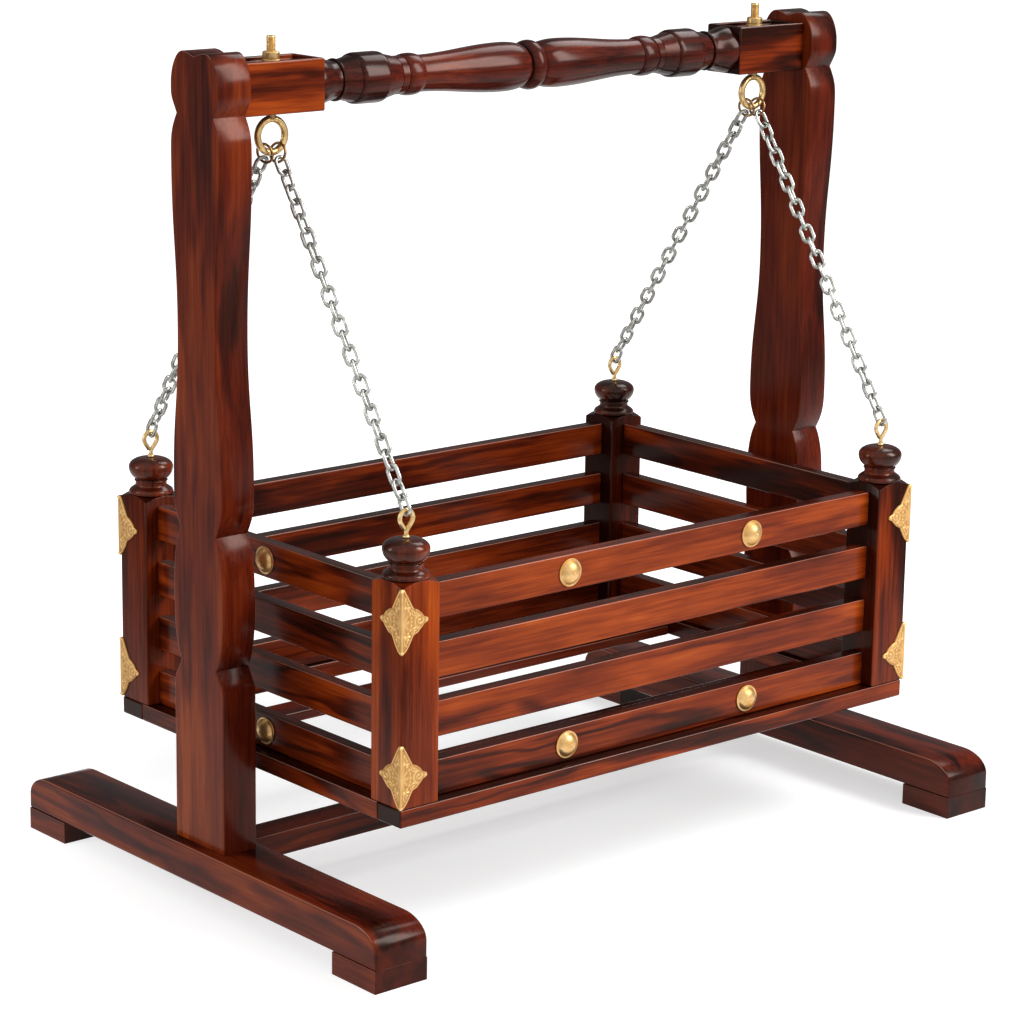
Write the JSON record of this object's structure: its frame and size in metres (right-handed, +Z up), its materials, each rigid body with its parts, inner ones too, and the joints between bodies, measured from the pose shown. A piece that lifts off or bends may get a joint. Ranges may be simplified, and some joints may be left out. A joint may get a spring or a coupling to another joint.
{
  "type": "hanging cradle",
  "caption": "Slatted wooden cradle box hung on chains from a turned top rail between two sawn posts on long feet; it swings front to back.",
  "frame": {"origin": "on the floor under the middle of the stand", "axes": "+X along the cradle and the top rail to the right, the front is -Y, +Z up"},
  "size_m": [0.954, 0.66, 0.9585],
  "materials": {
    "dark_wood": "glossy dark stain",
    "red_wood": "glossy red-brown stain",
    "brass": "aged, turned and bent",
    "gilt_brass": "embossed sheet",
    "bronze": "dark bronze wire",
    "zinc": "zinc plated"
  },
  "bodies": {
    "stand": {"post_left": "dark_wood", "post_right": "dark_wood", "foot_left": "dark_wood", "foot_right": "dark_wood", "foot_block_left_front": "dark_wood", "foot_block_left_back": "dark_wood", "foot_block_right_front": "dark_wood", "foot_block_right_back": "dark_wood", "stretcher": "dark_wood", "top_rail": "red_wood", "eye_bolt_left": "brass", "eye_bolt_right": "brass", "flange_nut_left": "brass", "flange_nut_right": "brass"},
    "swing_links": {"jump_ring_left_front": "bronze", "jump_ring_left_back": "bronze", "jump_ring_right_front": "bronze", "jump_ring_right_back": "bronze"},
    "left_chains": {"chain_left_front": "zinc", "chain_left_back": "zinc"},
    "right_chains": {"chain_right_front": "zinc", "chain_right_back": "zinc"},
    "cradle_box": {"corner_post_left_front": "red_wood", "corner_post_left_back": "red_wood", "corner_post_right_front": "red_wood", "corner_post_right_back": "red_wood", "screw_eye_left_front": "brass", "screw_eye_left_back": "brass", "screw_eye_right_front": "brass", "screw_eye_right_back": "brass", "corner_plate_left_front_top": "gilt_brass", "corner_plate_left_front_bottom": "gilt_brass", "corner_plate_left_back_top": "gilt_brass", "corner_plate_left_back_bottom": "gilt_brass", "corner_plate_right_front_top": "gilt_brass", "corner_plate_right_front_bottom": "gilt_brass", "corner_plate_right_back_top": "gilt_brass", "corner_plate_right_back_bottom": "gilt_brass", "slat_front_1": "red_wood", "slat_front_2": "red_wood", "slat_front_3": "red_wood", "slat_front_4": "red_wood", "slat_back_1": "red_wood", "slat_back_2": "red_wood", "slat_back_3": "red_wood", "slat_back_4": "red_wood", "slat_left_1": "red_wood", "slat_left_2": "red_wood", "slat_left_3": "red_wood", "slat_left_4": "red_wood", "slat_right_1": "red_wood", "slat_right_2": "red_wood", "slat_right_3": "red_wood", "slat_right_4": "red_wood", "base_rail_front": "red_wood", "base_rail_back": "red_wood", "base_rail_left": "red_wood", "base_rail_right": "red_wood", "floor_batten_front": "dark_wood", "floor_batten_back": "dark_wood"}
  },
  "joints": [
    {"name": "swing", "type": "hinge", "parent": "stand", "child": "swing_links", "pos_m": [0, 0, 0.83483], "axis": [1, 0, 0], "range_deg": [-25, 25]},
    {"name": "left_chain_tilt", "type": "hinge", "parent": "swing_links", "child": "left_chains", "pos_m": [-0.363, 0, 0.82802], "axis": [0, 1, 0], "range_deg": [-3.5, 3.5]},
    {"name": "sway", "type": "hinge", "parent": "left_chains", "child": "cradle_box", "pos_m": [-0.363, 0, 0.47998], "axis": [0, 1, 0], "range_deg": [-3.5, 3.5]},
    {"name": "right_chain_tilt", "type": "hinge", "parent": "swing_links", "child": "right_chains", "pos_m": [0.363, 0, 0.82802], "axis": [0, 1, 0], "range_deg": [-3.5, 3.5]}
  ],
  "couplings": [
    {"joint": "left_chain_tilt", "follows": "sway", "ratio": -1},
    {"joint": "right_chain_tilt", "follows": "sway", "ratio": -1}
  ]
}
